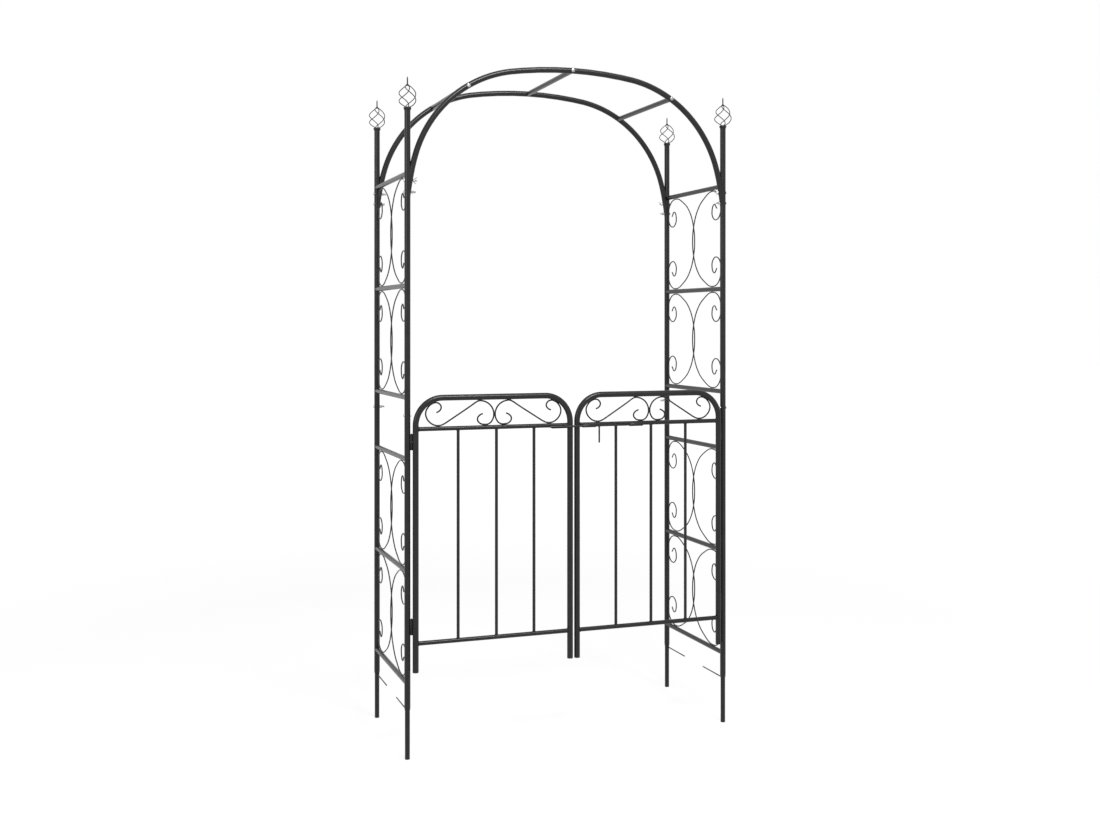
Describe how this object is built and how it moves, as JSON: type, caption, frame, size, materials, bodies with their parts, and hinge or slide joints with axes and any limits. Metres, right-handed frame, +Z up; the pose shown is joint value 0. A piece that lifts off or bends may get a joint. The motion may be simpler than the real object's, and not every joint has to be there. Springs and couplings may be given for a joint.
{
  "type": "garden arch with gate",
  "caption": "Free-standing garden arch of bent round steel tube with scrolled side panels and a two-leaf swing gate held by a sliding rod latch.",
  "frame": {"origin": "on the ground, midway between the four posts", "axes": "+Z up, -Y towards the gate side, the front, and +X to the right as seen from the front"},
  "size_m": [1.241, 0.5446, 2.35],
  "materials": {
    "black_steel": "satin black powder coat",
    "zinc_steel": "bright zinc plate"
  },
  "bodies": {
    "arch": {"upper_post_front_left": "black_steel", "lower_post_front_left": "black_steel", "stake_front_left": "black_steel", "finial_front_left": "black_steel", "upper_post_front_right": "black_steel", "lower_post_front_right": "black_steel", "stake_front_right": "black_steel", "finial_front_right": "black_steel", "upper_post_back_left": "black_steel", "lower_post_back_left": "black_steel", "stake_back_left": "black_steel", "finial_back_left": "black_steel", "upper_post_back_right": "black_steel", "lower_post_back_right": "black_steel", "stake_back_right": "black_steel", "finial_back_right": "black_steel", "front_arch": "black_steel", "back_arch": "black_steel", "arch_rung_left": "black_steel", "arch_rung_top": "black_steel", "arch_rung_right": "black_steel", "foot_bolt_front_left_low": "zinc_steel", "foot_bolt_front_left_high": "zinc_steel", "foot_bolt_front_right_low": "zinc_steel", "foot_bolt_front_right_high": "zinc_steel", "foot_bolt_back_left_low": "zinc_steel", "foot_bolt_back_left_high": "zinc_steel", "foot_bolt_back_right_low": "zinc_steel", "foot_bolt_back_right_high": "zinc_steel", "lower_rung_left_1": "black_steel", "lower_rung_left_2": "black_steel", "lower_rung_left_3": "black_steel", "lower_scrolls_left_1": "black_steel", "lower_scrolls_left_2": "black_steel", "upper_rung_left_1": "black_steel", "upper_rung_left_2": "black_steel", "upper_rung_left_3": "black_steel", "upper_scrolls_left_1": "black_steel", "upper_scrolls_left_2": "black_steel", "lower_rung_right_1": "black_steel", "lower_rung_right_2": "black_steel", "lower_rung_right_3": "black_steel", "lower_scrolls_right_1": "black_steel", "lower_scrolls_right_2": "black_steel", "upper_rung_right_1": "black_steel", "upper_rung_right_2": "black_steel", "upper_rung_right_3": "black_steel", "upper_scrolls_right_1": "black_steel", "upper_scrolls_right_2": "black_steel", "hinge_pin_left_lower": "black_steel", "hinge_pin_left_upper": "black_steel", "hinge_pin_right_lower": "black_steel", "hinge_pin_right_upper": "black_steel"},
    "left_gate": {"gate_frame_left": "black_steel", "gate_grille_left": "black_steel", "gate_scrolls_left": "black_steel"},
    "right_gate": {"gate_frame_right": "black_steel", "gate_grille_right": "black_steel", "gate_scrolls_right": "black_steel"},
    "latch_bolt": {"latch_bolt": "black_steel"}
  },
  "joints": [
    {"name": "left_gate_hinge", "type": "hinge", "parent": "arch", "child": "left_gate", "pos_m": [-0.57645, -0.2465, 0], "axis": [0, 0, 1], "range_deg": [0, 85]},
    {"name": "right_gate_hinge", "type": "hinge", "parent": "arch", "child": "right_gate", "pos_m": [0.57645, -0.2465, 0], "axis": [0, 0, 1], "range_deg": [0, 85]},
    {"name": "latch_slide", "type": "slide", "parent": "right_gate", "child": "latch_bolt", "axis": [1, 0, 0], "range_m": [0, 0.095]}
  ]
}
